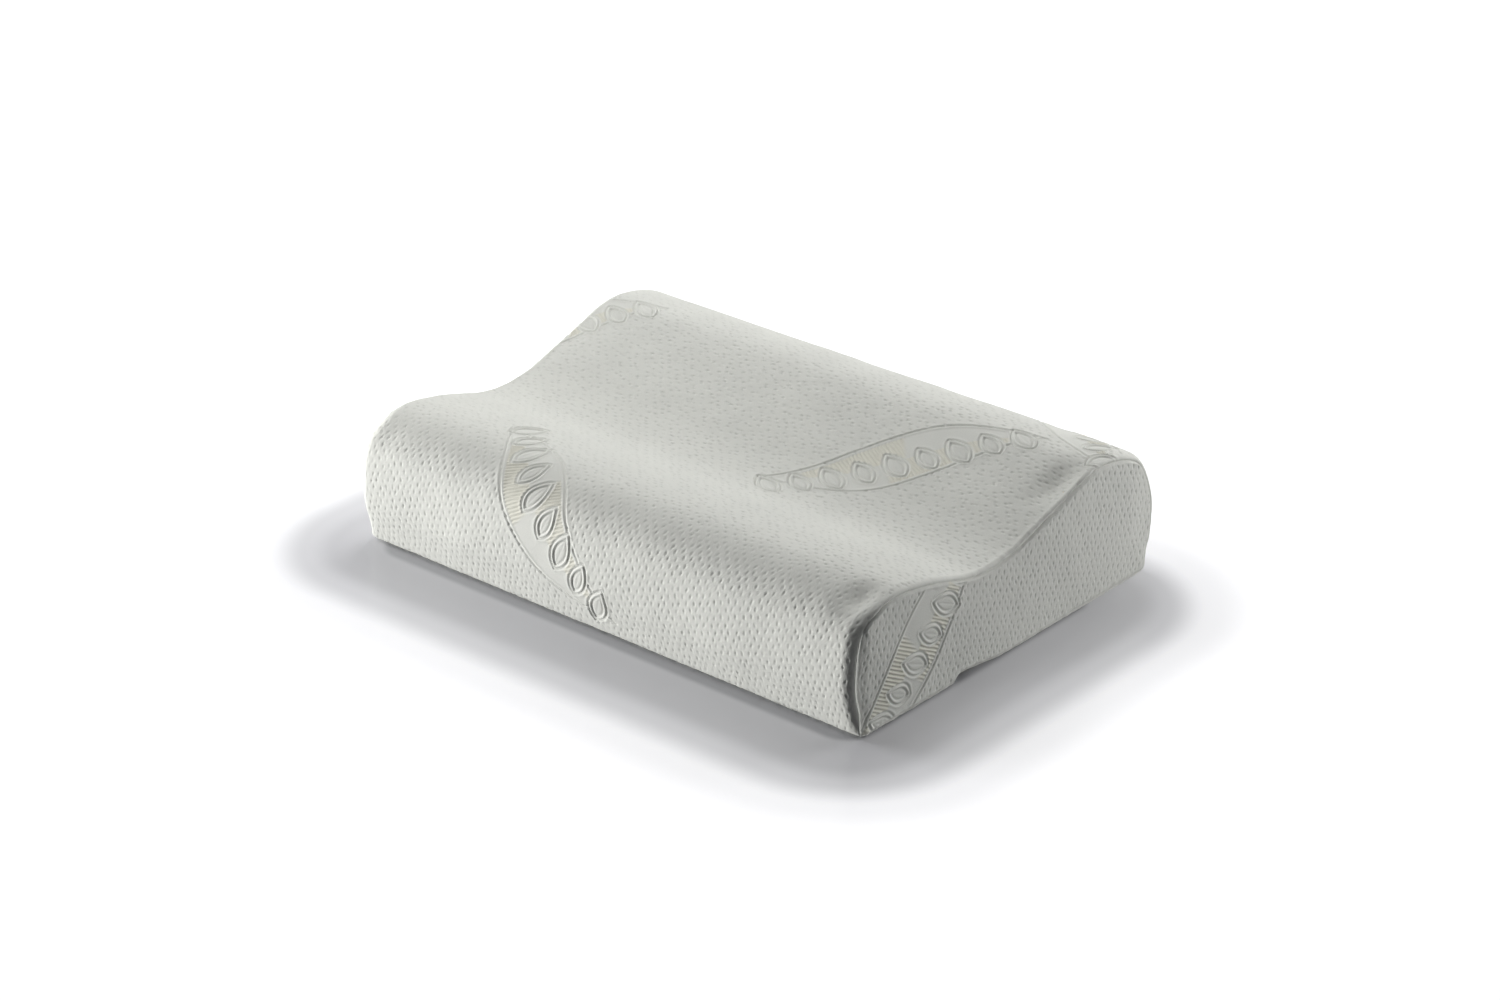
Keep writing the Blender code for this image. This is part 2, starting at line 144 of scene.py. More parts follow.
class Section:
    """The cover's closed outline in (Y, Z), by length from the front seam: up the front, over, and under."""

    STEPS = 60
    SMOOTHING = 0.0025
    STEP = 0.0005
    MIDDLE = np.array([0.0, 0.06])  # every ray from here crosses the outline once

    def __init__(self):
        core = np.array([v.co for v in frame["nodes"]["foam_core"].data.vertices])
        core = core[core[:, 0] > 0]
        ring = core[core[:, 0] < core[:, 0].min() + 1e-4][:, 1:]
        ring = np.unique(np.round(ring, 6), axis=0)
        ray = ring - self.MIDDLE
        ring = ring[np.argsort(-np.arctan2(ray[:, 1], ray[:, 0]))]
        line = self.even(self.curve(ring))
        line = line + self.outward(line) * CORE_DEPTH
        line = self.even(line)
        line = self.softened(line)
        start = np.argmin(np.linalg.norm(line - np.array([FRONT_SEAM.y, FRONT_SEAM.z]), axis=1))
        line = np.roll(line, -start, axis=0)
        normal = self.outward(line)
        line = np.vstack([line, line[:1]])
        self.normal = np.vstack([normal, normal[:1]])
        self.length = np.append(0, np.cumsum(np.linalg.norm(np.diff(line, axis=0), axis=1)))
        self.line = line
        self.total = self.length[-1]
        back = (line[:, 0] > 0.15) & (line[:, 1] > 0.02) & (line[:, 1] < 0.09)
        self.zip = np.interp(-ZIP_Z, -line[back, 1], self.length[back])

    def curve(self, ring):
        """A smooth closed curve through the ring's points."""
        a, b, c, d = (np.roll(ring, -k, axis=0)[:, None] for k in range(4))
        t = np.linspace(0, 1, self.STEPS, endpoint=False)[None, :, None]
        near, span, far = (
            np.linalg.norm(q - p, axis=2, keepdims=True) ** 0.5 for p, q in ((a, b), (b, c), (c, d))
        )
        leave = ((b - a) / near - (c - a) / (near + span) + (c - b) / span) * span
        arrive = ((c - b) / span - (d - b) / (span + far) + (d - c) / far) * span
        square, cube = 3 * (c - b) - 2 * leave - arrive, 2 * (b - c) + leave + arrive
        points = b + leave * t + square * t**2 + cube * t**3
        return points.reshape(-1, 2)

    @classmethod
    def even(cls, line):
        line = np.vstack([line, line[:1]])
        length = np.append(0, np.cumsum(np.linalg.norm(np.diff(line, axis=0), axis=1)))
        at = np.linspace(0, length[-1], round(length[-1] / cls.STEP), endpoint=False)
        return np.column_stack([np.interp(at, length, values) for values in line.T])

    @staticmethod
    def outward(line):
        along = np.roll(line, -1, axis=0) - np.roll(line, 1, axis=0)
        along /= np.linalg.norm(along, axis=1)[:, None]
        return np.column_stack([-along[:, 1], along[:, 0]])

    def softened(self, line):
        reach = round(3 * self.SMOOTHING / self.STEP)
        offsets = np.arange(-reach, reach + 1)
        weights = ridge(offsets * self.STEP, self.SMOOTHING)
        return sum(w * np.roll(line, -k, axis=0) for k, w in zip(offsets, weights / weights.sum()))

    def at(self, s):
        """Y, Z and the outward normal's Y, Z at these lengths."""
        s = np.mod(s, self.total)
        return [np.interp(s, self.length, values) for values in (*self.line.T, *self.normal.T)]

    def facing(self, y, z, where):
        """The length at which the outline faces this way most nearly."""
        match = np.where(where(self.line), self.normal @ np.array([y, z]), -2)
        return self.length[match.argmax()]


section = Section()


def lifted(points):
    """The loose lower edge of the right end stands a little clear of the floor."""
    x, y, z = points.T
    rise = np.where(
        y < LIFT_PEAK_Y,
        smooth((y - LIFT_PEAK_Y + LIFT_FRONT) / LIFT_FRONT),
        smooth((LIFT_PEAK_Y + LIFT_BACK - y) / LIFT_BACK) ** 1.5,
    )
    near_end = smooth((x - SEAM_X + 0.030) / 0.028)
    points = points.copy()
    points[:, 2] = np.maximum(z, 0) + LIFT * rise * near_end * np.exp(-np.maximum(z, 0) / 0.022)
    return points


def end_roll(s):
    """The end roll's width and depth, and the droop's reach, at these lengths round the section."""
    at, *columns = np.array(END_ROLLS).T
    return [np.interp(np.mod(s, section.total), at, column, period=section.total) for column in columns]


def front_corner(s):
    """1 up the front, where the cloth goes round the corner nearly flat, and 0 elsewhere."""
    return smooth(s / 0.010) * smooth((0.150 - s) / 0.030)


def on_cover(s, t, height, depth=0.0):
    """Points at length s round the section and t along the pillow, this high out of the surface.

    t is measured along the cloth, which rolls round into the end seam as about a quarter of an ellipse.
    """
    y, z, out_y, out_z = section.at(s)
    wide, deep, reach = end_roll(s)
    flat = 1 + CORNER_FLAT * front_corner(s)
    start = SEAM_X - wide
    away = np.abs(t) * (start + wide * math.pi / 2) / HALF_CLOTH
    turn = np.clip((away - start) / wide, 0, math.pi / 2)
    sine, cosine = np.sin(turn), np.maximum(np.cos(turn), 1e-9)
    x = np.minimum(away, start) + wide * sine**flat
    droop = (END_PULL - deep) * np.clip(1 - (SEAM_X - x) / reach, 0, 1) ** 2
    share = FOOT_SHARE + (1 - FOOT_SHARE) * smooth(z / FOOT_HEIGHT)
    ends, across = deep * sine ** (2 - flat), wide * cosine ** (2 - flat)
    pressed = sum(
        low * ridge(s - at, long) * ridge(t - middle, broad) for at, middle, low, long, broad in DENTS
    )
    out = (height - depth - pressed * cosine) / np.hypot(ends, across)
    side = across * out - (deep * (1 - cosine**flat) + droop) * share
    points = np.column_stack([np.sign(t) * (x + ends * out), y + out_y * side, z + out_z * side])
    return lifted(points)


HALF_CLOTH = SEAM_X + WIDEST_ROLL * (math.pi / 2 - 1)  # half the long panels' width, laid flat


def end_edge(s, inset=0.0):
    """(Y, Z) of the end seam."""
    y, z, out_y, out_z = section.at(s)
    pull = END_PULL * (FOOT_SHARE + (1 - FOOT_SHARE) * smooth(z / FOOT_HEIGHT)) + inset
    return np.column_stack([y - out_y * pull, z - out_z * pull])


# --- Knit relief ---

def pits(u, v, lattice, seed, upright):
    """0 to 1: the small soft pits of the knit, on a slanting lattice that wanders a little."""
    wide, long = PIT_ROUND * np.exp(-PIT_STRETCH * upright), PIT_ROUND * np.exp(PIT_STRETCH * upright)
    stray = PIT_JITTER * (1.6 - 0.6 * upright)
    (au, av), (bu, bv) = lattice
    table = np.random.default_rng(seed).uniform(-1, 1, (PIT_TABLE, PIT_TABLE, 4))
    area = au * bv - av * bu
    i = np.round((u * bv - v * bu) / area).astype(int)
    j = np.round((v * au - u * av) / area).astype(int)
    deepest = np.zeros_like(u)
    for di in (-1, 0, 1):
        for dj in (-1, 0, 1):
            k, m = i + di, j + dj
            wander = table[k % PIT_TABLE, m % PIT_TABLE]
            across = u - (k * au + m * bu) - wander[:, 0] * stray
            along = v - (k * av + m * bv) - wander[:, 1] * stray
            across = across + 0.3 * wander[:, 3] * along
            depth = (0.72 + 0.28 * wander[:, 2]) * np.exp(-((across / wide) ** 2) - (along / long) ** 2)
            deepest = np.maximum(deepest, depth)
    return deepest


class Relief:
    """What is knitted into a panel at its points (u, v): height, how deep the pits are, and tinted cloth."""

    def __init__(self, u, v):
        self.u, self.v = u, v
        self.height = np.zeros_like(u)
        self.quilt = np.ones_like(u)
        self.tint = np.zeros_like(u)

    def outlined(self, along, edge, length):
        """One embossed shape: a groove round it, a puffed band inside the groove, and a quiet middle."""
        inside = smooth((edge + 0.0022) / 0.0012)
        near = np.abs(along) < length / 2 + 0.003
        inside = inside * near
        self.quilt *= 1 - inside
        self.tint *= 1 - inside
        self.height *= 1 - inside
        rim = -0.00110 * ridge(edge, 0.0010) + 0.00080 * ridge(edge - 0.0022, 0.0012)
        rim += -0.00095 * ridge(edge - 0.0045, 0.0010) + 0.00045 * ridge(edge + 0.0021, 0.0013)
        self.height += rim * near

    def leaf(self, start, end, half_width, sway, hatch_turn, hand, pitch=0.0036):
        """A long curved leaf, smooth but for a hatched, tinted crescent on either side of its rib."""
        start, end = np.array(start), np.array(end)
        axis = end - start
        length = np.linalg.norm(axis)
        axis = axis / length
        du, dv = self.u - start[0], self.v - start[1]
        t = (du * axis[0] + dv * axis[1]) / length
        within = (t > 0) & (t < 1)
        run = np.clip(t, 0, 1)
        side = dv * axis[0] - du * axis[1] - sway * np.sin(2 * math.pi * run)
        half = half_width * np.sin(math.pi * run) ** 1.1
        slope = half_width * math.pi * np.cos(math.pi * run) / length
        edge = np.where(within, (half - np.abs(side)) / np.sqrt(1 + slope**2), -1.0)
        inside = smooth(edge / 0.0015)
        self.quilt *= 1 - inside
        angle = math.radians(hatch_turn)
        stroke = np.cos(2 * math.pi * (self.u * math.cos(angle) + self.v * math.sin(angle)) / pitch)
        lower = smooth((run - 0.14) / 0.02) * smooth((0.52 - run) / 0.02) * smooth(-side * hand / 0.002)
        upper = smooth((run - 0.44) / 0.02) * smooth((0.88 - run) / 0.02) * smooth(side * hand / 0.002)
        hatched = smooth((edge - 0.0035) / 0.0015) * np.maximum(lower, upper)
        self.height += 0.00055 * stroke * hatched
        self.tint = np.maximum(self.tint, hatched)
        self.height += -0.00110 * ridge(edge, 0.0010) + 0.00055 * ridge(edge - 0.0022, 0.0013)
        self.height += 0.00030 * ridge(edge + 0.0021, 0.0012)

    def sprig(self, start, end, count, length, width):
        """A row of outlined leaflets, side by side."""
        start, end = np.array(start), np.array(end)
        row = math.atan2(*(end - start)[::-1])
        for k in range(count):
            middle = start + (end - start) * (k + 0.5) / count
            lean = row + math.radians(112)
            size = 1 - 0.10 * (k % 2)
            du, dv = self.u - middle[0], self.v - middle[1]
            along = du * math.cos(lean) + dv * math.sin(lean)
            across = dv * math.cos(lean) - du * math.sin(lean)
            run = np.clip(2 * along / (length * size), -1, 1)
            half = 0.5 * width * size * (1 - run**2) ** 0.85 * (1 - 0.22 * run)
            slope = 2 * width / length * run
            edge = (half - np.abs(across)) / np.sqrt(1 + slope**2)
            edge = np.where(np.abs(run) >= 1, -np.hypot(across, np.abs(along) - length * size / 2), edge)
            self.outlined(along, edge, length * size)
            rib = ridge(across, 0.0007) * smooth((edge - 0.0045) / 0.001)
            self.height -= 0.00030 * rib

    def motif(self, origin, turned=False):
        """The leaf with its sprig, as it repeats over the cloth, from the leaf's tail."""
        u0, v0 = origin
        way = -1 if turned else 1
        self.leaf((u0, v0), (u0 + 0.208, v0 - way * 0.176), 0.034, way * 0.008, -62 * way, way)
        self.sprig((u0 + 0.006, v0 + way * 0.016), (u0 + 0.200, v0 - way * 0.172), 9, 0.041, 0.0215)


def knit(u, v, lattice, seed, decorate, upright=1.0):
    """The relief of a panel before its seams: pits, embossing and the cloth's unevenness."""
    relief = Relief(u, v)
    decorate(relief)
    sunk = pits(u, v, lattice, seed, upright) * relief.quilt
    # sunk also sets the pit mark, which paints shade into the cloth's colour in the pits
    relief.sunk = sunk
    relief.height += PIT_DEPTH * (0.35 * relief.quilt - sunk)
    relief.height += 0.00045 * cloud(u, v, 0.052, seed + 1) + 0.00020 * cloud(u, v, 0.017, seed + 2)
    return relief


# --- Meshes ---

def add_mesh(name, points, faces, look, smooth_faces=True):
    mesh = bpy.data.meshes.new(name)
    mesh.from_pydata(np.asarray(points).tolist(), [], faces)
    mesh.validate()
    if smooth_faces:
        mesh.shade_smooth()
    return placed_mesh(name, mesh, look)


def new_object(name, data):
    made = bpy.data.objects.new(name, data)
    bpy.context.scene.collection.objects.link(made)
    return made


def placed_mesh(name, mesh, look):
    mesh.materials.append(look)
    return new_object(name, mesh)


def cell_corners(rows, columns):
    """Row and column numbers of every corner of a grid with this many cells."""
    return [a.ravel() for a in np.meshgrid(np.arange(rows + 1), np.arange(columns + 1), indexing="ij")]


def grid_faces(points, flip):
    """A four-sided face in each cell of a grid of point numbers."""
    corners = points[:-1, :-1], points[1:, :-1], points[1:, 1:], points[:-1, 1:]
    quads = np.stack(corners, axis=-1).reshape(-1, 4)
    return quads[:, ::-1] if flip else quads


def fan(edge, near, far, reverse):
    """Triangles between a fine edge and the coarse edge beside it, all from the coarse edge's near end."""
    triangles = [(near, p, q) for p, q in zip(edge, edge[1:])] + [(near, edge[-1], far)]
    return [t[::-1] for t in triangles] if reverse else triangles


def sewn_panel(name, rows, columns, outer, inner, look, cloth, marks=None, flip=False):
    """A closed piece of thick cloth: a fine outer grid, a coarse inner one, and a rim between them.

    rows and columns are numbers of outer cells, whole multiples of COARSE. outer is the outer points, and inner
    gives inner ones from row and column numbers. cloth is where the outer points lie on the flat cloth, and
    marks holds values for them.
    """
    a, b = cell_corners(rows // COARSE, columns // COARSE)
    inner_points = inner(a * COARSE, b * COARSE)
    fine = len(outer)
    outer_at = np.arange(fine).reshape(rows + 1, -1)
    inner_at = fine + np.arange(len(a)).reshape(rows // COARSE + 1, -1)
    quads = np.vstack([grid_faces(outer_at, flip), grid_faces(inner_at, not flip)])
    rim = []
    for side, reverse in (np.s_[:, 0], False), (np.s_[:, -1], True), (np.s_[0], True), (np.s_[-1], False):
        edge, coarse_edge = outer_at[side], inner_at[side]
        for k in range(len(coarse_edge) - 1):
            beside = edge[k * COARSE : (k + 1) * COARSE + 1]
            rim += fan(beside, coarse_edge[k], coarse_edge[k + 1], reverse != flip)
    points = np.vstack([outer, inner_points])
    piece = mixed_mesh(name, points, quads, np.array(rim), look)
    mesh = piece.data
    place = np.zeros((len(points), 2), np.float32)
    place[:fine] = cloth
    place[fine:] = place[outer_at[::COARSE, ::COARSE].ravel()]
    corner = np.empty(len(mesh.loops), np.int32)
    mesh.loops.foreach_get("vertex_index", corner)
    mesh.uv_layers.new(name="cloth").data.foreach_set("uv", place[corner].ravel())
    for mark, values in (marks or {}).items():
        full = np.zeros(len(points), np.float32)
        full[:fine] = values
        mesh.attributes.new(mark, "FLOAT", "POINT").data.foreach_set("value", full)
    return piece


def mixed_mesh(name, points, quads, triangles, look):
    mesh = bpy.data.meshes.new(name)
    mesh.vertices.add(len(points))
    mesh.vertices.foreach_set("co", np.asarray(points, np.float32).ravel())
    loops = np.concatenate([quads.ravel(), triangles.ravel()])
    mesh.loops.add(len(loops))
    mesh.loops.foreach_set("vertex_index", loops.astype(np.int32))
    starts = np.concatenate([
        np.arange(len(quads)) * 4,
        len(quads) * 4 + np.arange(len(triangles)) * 3,
    ])
    mesh.polygons.add(len(starts))
    mesh.polygons.foreach_set("loop_start", starts.astype(np.int32))
    mesh.update(calc_edges=True)
    mesh.shade_smooth()
    return placed_mesh(name, mesh, look)


def tube(name, path, radius, look, sides=6):
    """A round strand along an open path."""
    path = np.asarray(path)
    along = np.gradient(path, axis=0)
    along /= np.linalg.norm(along, axis=1)[:, None]
    steady = np.array([0.0, 0.0, 1.0]) if abs(along[:, 2]).mean() < 0.5 else np.array([1.0, 0.0, 0.0])
    one = np.cross(along, steady)
    one /= np.linalg.norm(one, axis=1)[:, None]
    two = np.cross(along, one)
    turns = np.arange(sides) * 2 * math.pi / sides
    rings = path[:, None] + radius * (
        np.cos(turns)[None, :, None] * one[:, None] + np.sin(turns)[None, :, None] * two[:, None]
    )
    count = len(path)
    faces = [
        (i * sides + j, i * sides + (j + 1) % sides, (i + 1) * sides + (j + 1) % sides, (i + 1) * sides + j)
        for i in range(count - 1) for j in range(sides)
    ]
    faces += [tuple(range(sides))[::-1], tuple((count - 1) * sides + j for j in range(sides))]
    return add_mesh(name, rings.reshape(-1, 3), faces, look)


def stitches(name, node, middles, along, out, length, radius):
    """One plump stitch at each middle, lying along the seam, as separate loops of the same thread."""
    sides, shape = 6, ((-1.0, 0.25), (-0.72, 0.85), (0.0, 1.0), (0.72, 0.85), (1.0, 0.25))
    along = along / np.linalg.norm(along, axis=1)[:, None]
    across = np.cross(np.array(out, float), along)
    across /= np.linalg.norm(across, axis=1)[:, None]
    up = np.cross(along, across)
    points, faces = [], []
    for n in range(len(middles)):
        first = len(points)
        for run, thick in shape:
            sink = -0.45 * radius * run * run
            for k in range(sides):
                turn = 2 * math.pi * k / sides
                rise, aside = sink + radius * thick * math.sin(turn), radius * thick * math.cos(turn)
                points.append(middles[n] + along[n] * run * length / 2 + up[n] * rise + across[n] * aside)
        for i in range(len(shape) - 1):
            for k in range(sides):
                a, b = first + i * sides + k, first + i * sides + (k + 1) % sides
                faces.append((a, b, b + sides, a + sides))
        faces.append(tuple(first + k for k in range(sides))[::-1])
        faces.append(tuple(first + (len(shape) - 1) * sides + k for k in range(sides)))
    keep(add_mesh(name, points, faces, THREAD), "root", "thread", node)


# --- Materials ---

class Look:
    """A Principled material whose colour, roughness and bump are built up by a few named steps."""

    def __init__(self, name, colour, roughness, sheen=0.0, specular=0.5, coat=0.0):
        self.material = bpy.data.materials.new(name)
        self.material.use_nodes = True
        self.tree = self.material.node_tree
        self.shader = self.tree.nodes["Principled BSDF"]
        values = {
            "Base Color": (*colour, 1), "Roughness": roughness, "Specular IOR Level": specular,
            "Sheen Weight": sheen, "Sheen Roughness": 0.5, "Coat Weight": coat, "Coat Roughness": 0.2,
        }
        for key, value in values.items():
            self.shader.inputs[key].default_value = value
        self.colour = None
        self.start = colour
        self.normal = None

    def node(self, kind, **settings):
        node = self.tree.nodes.new(kind)
        for key, value in settings.items():
            if hasattr(node, key):
                setattr(node, key, value)
            else:
                node.inputs[key.replace("_", " ")].default_value = value
        return node

    def link(self, source, target):
        self.tree.links.new(source, target)

    def place(self, cloth):
        if cloth:
            return self.node("ShaderNodeUVMap", uv_map="cloth").outputs["UV"]
        return self.node("ShaderNodeTexCoord").outputs["Object"]

    def noise(self, scale, detail=2.0, cloth=False):
        node = self.node("ShaderNodeTexNoise", Scale=scale, Detail=detail)
        self.link(self.place(cloth), node.inputs["Vector"])
        return node.outputs["Fac"]

    def weave(self, scale, turn, cloth=True, distortion=0.6):
        """Fine parallel ribs."""
        turned = self.node("ShaderNodeMapping", Rotation=(0, 0, math.radians(turn)))
        self.link(self.place(cloth), turned.inputs["Vector"])
        node = self.node("ShaderNodeTexWave", Scale=scale, Distortion=distortion, Detail=1.0)
        self.link(turned.outputs["Vector"], node.inputs["Vector"])
        return node.outputs["Fac"]

    def mark(self, name):
        return self.node("ShaderNodeAttribute", attribute_name=name).outputs["Fac"]

    def ranged(self, value, low, high, start=0.0, end=1.0):
        node = self.node("ShaderNodeMapRange", From_Min=start, From_Max=end, To_Min=low, To_Max=high)
        self.link(value, node.inputs["Value"])
        return node.outputs["Result"]

    def towards(self, colour, share):
        """The colour so far goes towards this one by this share."""
        mix = self.node("ShaderNodeMix", data_type="RGBA")
        colours = [i for i in mix.inputs if i.type == "RGBA"]
        colours[1].default_value = (*colour, 1)
        if self.colour is None:
            colours[0].default_value = (*self.start, 1)
        else:
            self.link(self.colour, colours[0])
        self.link(share, mix.inputs["Factor"])
        self.colour = next(o for o in mix.outputs if o.type == "RGBA")
        self.link(self.colour, self.shader.inputs["Base Color"])

    def bump(self, height, distance, strength=1.0):
        node = self.node("ShaderNodeBump", Strength=strength, Distance=distance)
        self.link(height, node.inputs["Height"])
        if self.normal is not None:
            self.link(self.normal, node.inputs["Normal"])
        self.normal = node.outputs["Normal"]
        self.link(self.normal, self.shader.inputs["Normal"])


def knit_look():
    look = Look("quilted_knit", (0.797, 0.803, 0.748), 0.86, sheen=0.12, specular=0.3)
    look.towards((0.737, 0.745, 0.697), look.ranged(look.noise(14.0, 3.0, cloth=True), 0.0, 0.8, 0.35, 0.75))
    look.towards((0.857, 0.860, 0.803), look.ranged(look.noise(900.0, 2.0, cloth=True), 0.0, 0.5, 0.35, 0.7))
    look.towards((0.81, 0.795, 0.69), look.ranged(look.mark("tint"), 0.0, 0.80))
    # painted shade: the cloth's colour goes darker where its pits sink
    look.towards((0.60, 0.61, 0.59), look.ranged(look.mark("pit_shade"), 0.0, 0.25))
    look.bump(look.weave(320.0, 0), 0.00010)
    look.bump(look.weave(250.0, 90), 0.00008)
    look.bump(look.noise(1100.0, 3.0, cloth=True), 0.00014)
    look.link(look.ranged(look.noise(300.0), 0.80, 0.94), look.shader.inputs["Roughness"])
    return look.material


def foam_look():
    look = Look("memory_foam", (0.87, 0.80, 0.62), 0.92, specular=0.2)
    look.towards((0.80, 0.71, 0.50), look.ranged(look.noise(30.0, 3.0), 0.0, 0.7, 0.35, 0.7))
    cells = look.node("ShaderNodeTexVoronoi", Scale=420.0)
    look.link(look.place(False), cells.inputs["Vector"])
    look.towards((0.62, 0.54, 0.36), look.ranged(cells.outputs["Distance"], 0.7, 0.0, 0.0, 0.35))
    look.bump(cells.outputs["Distance"], 0.0004)
    return look.material


def jersey_look():
    look = Look("liner_jersey", (0.84, 0.84, 0.83), 0.9, sheen=0.1, specular=0.3)
    look.towards((0.76, 0.76, 0.76), look.ranged(look.noise(500.0), 0.0, 0.6, 0.4, 0.7))
    look.bump(look.weave(260.0, 0, cloth=False), 0.00015)
    return look.material


def thread_look():
    look = Look("sewing_thread", (0.82, 0.82, 0.79), 0.62, sheen=0.1, specular=0.4)
    look.towards((0.72, 0.72, 0.69), look.ranged(look.noise(1500.0), 0.0, 0.8, 0.35, 0.7))
    look.bump(look.weave(900.0, 35, cloth=False), 0.0001)
    return look.material


def tape_look():
    look = Look("zip_tape", (0.79, 0.79, 0.76), 0.82, sheen=0.08, specular=0.3)
    look.towards((0.68, 0.68, 0.65), look.ranged(look.weave(380.0, 45, cloth=False), 0.0, 0.5))
    look.bump(look.weave(380.0, 45, cloth=False), 0.00012)
    look.bump(look.weave(380.0, -45, cloth=False), 0.00010)
    return look.material


def nylon_look():
    look = Look("zip_nylon", (0.82, 0.82, 0.79), 0.34, specular=0.5)
    look.towards((0.74, 0.74, 0.71), look.ranged(look.noise(400.0), 0.0, 0.6, 0.4, 0.7))
    look.bump(look.noise(2500.0), 0.00003)
    return look.material


def lacquer_look():
    look = Look("zip_lacquer", (0.78, 0.78, 0.755), 0.30, specular=0.5, coat=0.35)
    look.towards((0.70, 0.70, 0.68), look.ranged(look.noise(260.0, 3.0), 0.0, 0.6, 0.45, 0.75))
    look.bump(look.noise(1400.0), 0.00003)
    look.link(look.ranged(look.noise(500.0), 0.24, 0.40), look.shader.inputs["Roughness"])
    return look.material


def satin_look():
    look = Look("label_satin", (0.88, 0.88, 0.87), 0.42, sheen=0.15, specular=0.5)
    look.towards((0.80, 0.80, 0.80), look.ranged(look.weave(500.0, 0, cloth=False), 0.0, 0.5))
    look.bump(look.weave(500.0, 0, cloth=False), 0.00005)
    return look.material


KNIT, FOAM, JERSEY, THREAD = knit_look(), foam_look(), jersey_look(), thread_look()
TAPE, NYLON, LACQUER, SATIN = tape_look(), nylon_look(), lacquer_look(), satin_look()


def keep(piece, body, slot, *nodes):
    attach(piece, body)
    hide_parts(*nodes)
    return piece


# --- Long cover panels ---

def half_opening(t):
    closing = smooth((np.abs(t) - OPENING_STRAIGHT) / (OPENING_CLOSED - OPENING_STRAIGHT))
    return OPENING + (0.0003 - OPENING) * closing


def whole_cells(size, cell):
    return COARSE * max(1, round(size / cell / COARSE))


def end_seam_relief(t, s, seed):
    """Puckers and the crease where the long panels roll into an end seam."""
    from_seam = HALF_CLOTH - np.abs(t)
    gather = cloud(s, np.sign(t) * 0.05, 0.0062, seed) * np.exp(-from_seam / 0.0065)
    plump = 0.0011 * ridge(from_seam - 0.0035, 0.0035) * (1 - front_corner(s))
    plump = plump + 0.0004 * ridge(from_seam - 0.018, 0.012)
    crease = SEAM_CREASE * np.exp(-((from_seam / SEAM_CREASE_WIDTH) ** 2))
    return (0.00040 * gather - crease) * (1 - 0.7 * front_corner(s)) + plump


def strip_relief(from_edge):
    """A turned-in edge beside the zip, with its topstitch pulled into the cloth."""
    fold, stitched = 0.0010 * ridge(from_edge, 0.0010), 0.00045 * ridge(from_edge - STITCH_LINE, 0.0009)
    return 0.0003 * ridge(from_edge - 0.0055, 0.0020) - fold - stitched


def front_seam_relief(from_seam, t, seed):
    gather = cloud(t, from_seam * 0, 0.0075, seed) * np.exp(-from_seam / 0.006)
    return 0.00030 * gather - 0.0008 * ridge(from_seam, 0.0014)


def long_panel(name, start, end, decorate, seed, cell):
    """A panel that runs the pillow's length, between two lengths of the section that may change with t."""
    rows = whole_cells(2 * HALF_CLOTH, cell)
    columns = whole_cells(abs(float(end(0.0) - start(0.0))), cell)

    def flat(i, j):
        t = (2 * i / rows - 1) * HALF_CLOTH
        low, high = start(t), end(t)
        return t, low + (high - low) * j / columns

    i, j = cell_corners(rows, columns)
    t, s = flat(i, j)
    over = smooth((s - 0.125) / 0.06)
    relief = knit(t, s, PITS_LONG, seed, decorate, 1 - 2.1 * over)
    from_seam = HALF_CLOTH - np.abs(t)
    stretched = 0.25 + 0.75 * smooth((from_seam - 0.003) / 0.006)
    puffed = FRONT_PUFF + (TOP_PUFF - FRONT_PUFF) * over
    height = relief.height * stretched * puffed + end_seam_relief(t, s, seed + 5)
    height = height + front_seam_relief(np.abs(s - (0 if start(0.0) < 0.1 else section.total)), t, seed + 6)
    opened = smooth((OPENING_CLOSED + 0.002 - np.abs(t)) / 0.004)
    height = height + strip_relief(np.abs(s - section.zip) - half_opening(t)) * (0.35 + 0.65 * opened)
    tacked = ridge(np.abs(t) - OPENING_CLOSED, 0.016) * ridge(s - section.zip, 0.012)
    height = height * (1 - tacked) - TACK_SINK * tacked

    def inner(i, j):
        t, s = flat(i, j)
        return on_cover(s, t, 0.0, COVER)

    # the pit mark carries painted shade in the pits
    marks = {"pit_shade": relief.sunk * stretched, "tint": relief.tint}
    outer = on_cover(s, t, height)
    return sewn_panel(name, rows, columns, outer, inner, KNIT, np.column_stack([t, s]), marks)


def wrap_motifs(relief):
    relief.motif((-0.186, 0.196))
    relief.motif((0.030, 0.300), turned=True)
    relief.motif((-0.440, 0.300), turned=True)
    relief.motif((0.110, 0.640))


def base_motifs(relief):
    relief.motif((-0.250, 0.760))
    relief.motif((0.060, 0.900), turned=True)


def cover_long_panels():
    wrap = long_panel(
        "cover_wrap_knit", lambda t: SEAM_GAP + 0 * t,
        lambda t: section.zip - half_opening(t), wrap_motifs, 11, CELL,
    )
    keep(wrap, "root", "cover_knit", "cover_wrap_panel")
    base = long_panel(
        "cover_base_knit", lambda t: section.zip + half_opening(t),
        lambda t: section.total - SEAM_GAP + 0 * t, base_motifs, 23, 1.3 * CELL,
    )
    keep(base, "root", "cover_knit", "cover_base_panel")


# --- End panels ---

